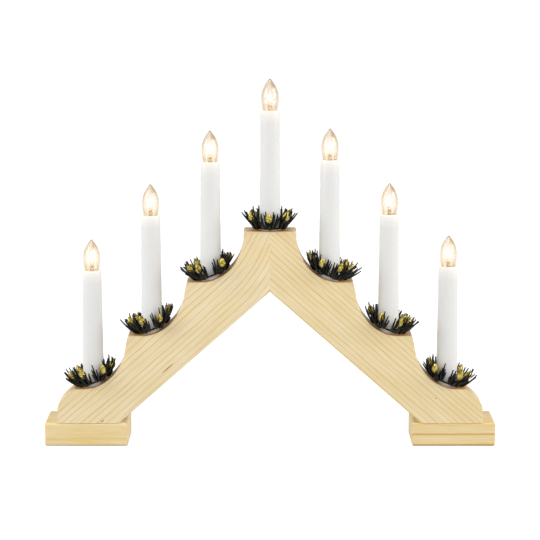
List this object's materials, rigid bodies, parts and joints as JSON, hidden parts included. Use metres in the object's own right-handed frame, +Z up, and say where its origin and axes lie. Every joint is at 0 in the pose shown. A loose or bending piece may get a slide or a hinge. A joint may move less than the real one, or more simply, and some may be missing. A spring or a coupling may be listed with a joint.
{
  "type": "candle arch",
  "caption": "Wooden candle arch of two mitred scalloped arms on block feet, carrying electric candle tubes with screw-in lamps and needle rings.",
  "frame": {"origin": "on the table, midway along the arch and midway through its depth", "axes": "+X along the arch to the right, +Y to the back, +Z up; the front faces -Y"},
  "size_m": [0.4, 0.0577, 0.325],
  "materials": {
    "pine": "planed and clear lacquered",
    "beech": "turned",
    "zinc_steel": "zinc plated",
    "holder_plastic": "moulded",
    "brass": "pressed",
    "solder": "soldered",
    "wire_sheath": "extruded",
    "candle_plastic": "moulded satin",
    "bulb_glass": "blown clear",
    "filament": "glowing wire",
    "needles": "moulded",
    "gold_buds": "metallised"
  },
  "bodies": {
    "root": {"left_arm": "pine", "right_arm": "pine", "left_foot": "pine", "right_foot": "pine", "mitre_dowels": "beech", "foot_screws": "zinc_steel", "lampholders": "holder_plastic", "screw_shells": "brass", "centre_contacts": "brass", "link_wires": "wire_sheath", "wire_clips": "holder_plastic", "candle_tube_1": "candle_plastic", "candle_tube_2": "candle_plastic", "candle_tube_3": "candle_plastic", "candle_tube_4": "candle_plastic", "candle_tube_5": "candle_plastic", "candle_tube_6": "candle_plastic", "candle_tube_7": "candle_plastic"},
    "bulb_foot_1": {"bulb_contact_1": "solder"},
    "bulb_1": {"bulb_cap_1": "brass", "bulb_glass_1": "bulb_glass", "bulb_filament_1": "filament"},
    "ring_1": {"needle_ring_1": "needles", "ring_buds_1": "gold_buds"},
    "bulb_foot_2": {"bulb_contact_2": "solder"},
    "bulb_2": {"bulb_cap_2": "brass", "bulb_glass_2": "bulb_glass", "bulb_filament_2": "filament"},
    "ring_2": {"needle_ring_2": "needles", "ring_buds_2": "gold_buds"},
    "bulb_foot_3": {"bulb_contact_3": "solder"},
    "bulb_3": {"bulb_cap_3": "brass", "bulb_glass_3": "bulb_glass", "bulb_filament_3": "filament"},
    "ring_3": {"needle_ring_3": "needles", "ring_buds_3": "gold_buds"},
    "bulb_foot_4": {"bulb_contact_4": "solder"},
    "bulb_4": {"bulb_cap_4": "brass", "bulb_glass_4": "bulb_glass", "bulb_filament_4": "filament"},
    "ring_4": {"needle_ring_4": "needles", "ring_buds_4": "gold_buds"},
    "bulb_foot_5": {"bulb_contact_5": "solder"},
    "bulb_5": {"bulb_cap_5": "brass", "bulb_glass_5": "bulb_glass", "bulb_filament_5": "filament"},
    "ring_5": {"needle_ring_5": "needles", "ring_buds_5": "gold_buds"},
    "bulb_foot_6": {"bulb_contact_6": "solder"},
    "bulb_6": {"bulb_cap_6": "brass", "bulb_glass_6": "bulb_glass", "bulb_filament_6": "filament"},
    "ring_6": {"needle_ring_6": "needles", "ring_buds_6": "gold_buds"},
    "bulb_foot_7": {"bulb_contact_7": "solder"},
    "bulb_7": {"bulb_cap_7": "brass", "bulb_glass_7": "bulb_glass", "bulb_filament_7": "filament"},
    "ring_7": {"needle_ring_7": "needles", "ring_buds_7": "gold_buds"}
  },
  "joints": [
    {"name": "bulb_rise_1", "type": "slide", "parent": "root", "child": "bulb_foot_1", "axis": [0, 0, 1], "range_m": [0, 0.00905]},
    {"name": "bulb_turn_1", "type": "hinge", "parent": "bulb_foot_1", "child": "bulb_1", "pos_m": [-0.1569, -0.00512, 0.1568], "axis": [0, 0, 1], "range_deg": [0, 1800]},
    {"name": "ring_lift_1", "type": "slide", "parent": "root", "child": "ring_1", "axis": [0, 0, 1], "range_m": [0, 0.15]},
    {"name": "bulb_rise_2", "type": "slide", "parent": "root", "child": "bulb_foot_2", "axis": [0, 0, 1], "range_m": [0, 0.00905]},
    {"name": "bulb_turn_2", "type": "hinge", "parent": "bulb_foot_2", "child": "bulb_2", "pos_m": [-0.1046, -0.00512, 0.2048], "axis": [0, 0, 1], "range_deg": [0, 1800]},
    {"name": "ring_lift_2", "type": "slide", "parent": "root", "child": "ring_2", "axis": [0, 0, 1], "range_m": [0, 0.15]},
    {"name": "bulb_rise_3", "type": "slide", "parent": "root", "child": "bulb_foot_3", "axis": [0, 0, 1], "range_m": [0, 0.00905]},
    {"name": "bulb_turn_3", "type": "hinge", "parent": "bulb_foot_3", "child": "bulb_3", "pos_m": [-0.0523, -0.00512, 0.2528], "axis": [0, 0, 1], "range_deg": [0, 1800]},
    {"name": "ring_lift_3", "type": "slide", "parent": "root", "child": "ring_3", "axis": [0, 0, 1], "range_m": [0, 0.15]},
    {"name": "bulb_rise_4", "type": "slide", "parent": "root", "child": "bulb_foot_4", "axis": [0, 0, 1], "range_m": [0, 0.00905]},
    {"name": "bulb_turn_4", "type": "hinge", "parent": "bulb_foot_4", "child": "bulb_4", "pos_m": [0, -0.00512, 0.2978], "axis": [0, 0, 1], "range_deg": [0, 1800]},
    {"name": "ring_lift_4", "type": "slide", "parent": "root", "child": "ring_4", "axis": [0, 0, 1], "range_m": [0, 0.15]},
    {"name": "bulb_rise_5", "type": "slide", "parent": "root", "child": "bulb_foot_5", "axis": [0, 0, 1], "range_m": [0, 0.00905]},
    {"name": "bulb_turn_5", "type": "hinge", "parent": "bulb_foot_5", "child": "bulb_5", "pos_m": [0.0523, -0.00512, 0.2528], "axis": [0, 0, 1], "range_deg": [0, 1800]},
    {"name": "ring_lift_5", "type": "slide", "parent": "root", "child": "ring_5", "axis": [0, 0, 1], "range_m": [0, 0.15]},
    {"name": "bulb_rise_6", "type": "slide", "parent": "root", "child": "bulb_foot_6", "axis": [0, 0, 1], "range_m": [0, 0.00905]},
    {"name": "bulb_turn_6", "type": "hinge", "parent": "bulb_foot_6", "child": "bulb_6", "pos_m": [0.1046, -0.00512, 0.2048], "axis": [0, 0, 1], "range_deg": [0, 1800]},
    {"name": "ring_lift_6", "type": "slide", "parent": "root", "child": "ring_6", "axis": [0, 0, 1], "range_m": [0, 0.15]},
    {"name": "bulb_rise_7", "type": "slide", "parent": "root", "child": "bulb_foot_7", "axis": [0, 0, 1], "range_m": [0, 0.00905]},
    {"name": "bulb_turn_7", "type": "hinge", "parent": "bulb_foot_7", "child": "bulb_7", "pos_m": [0.1569, -0.00512, 0.1568], "axis": [0, 0, 1], "range_deg": [0, 1800]},
    {"name": "ring_lift_7", "type": "slide", "parent": "root", "child": "ring_7", "axis": [0, 0, 1], "range_m": [0, 0.15]}
  ],
  "couplings": [
    {"joint": "bulb_rise_1", "follows": "bulb_turn_1", "m_per_rad": 0.00028807},
    {"joint": "bulb_rise_2", "follows": "bulb_turn_2", "m_per_rad": 0.00028807},
    {"joint": "bulb_rise_3", "follows": "bulb_turn_3", "m_per_rad": 0.00028807},
    {"joint": "bulb_rise_4", "follows": "bulb_turn_4", "m_per_rad": 0.00028807},
    {"joint": "bulb_rise_5", "follows": "bulb_turn_5", "m_per_rad": 0.00028807},
    {"joint": "bulb_rise_6", "follows": "bulb_turn_6", "m_per_rad": 0.00028807},
    {"joint": "bulb_rise_7", "follows": "bulb_turn_7", "m_per_rad": 0.00028807}
  ]
}
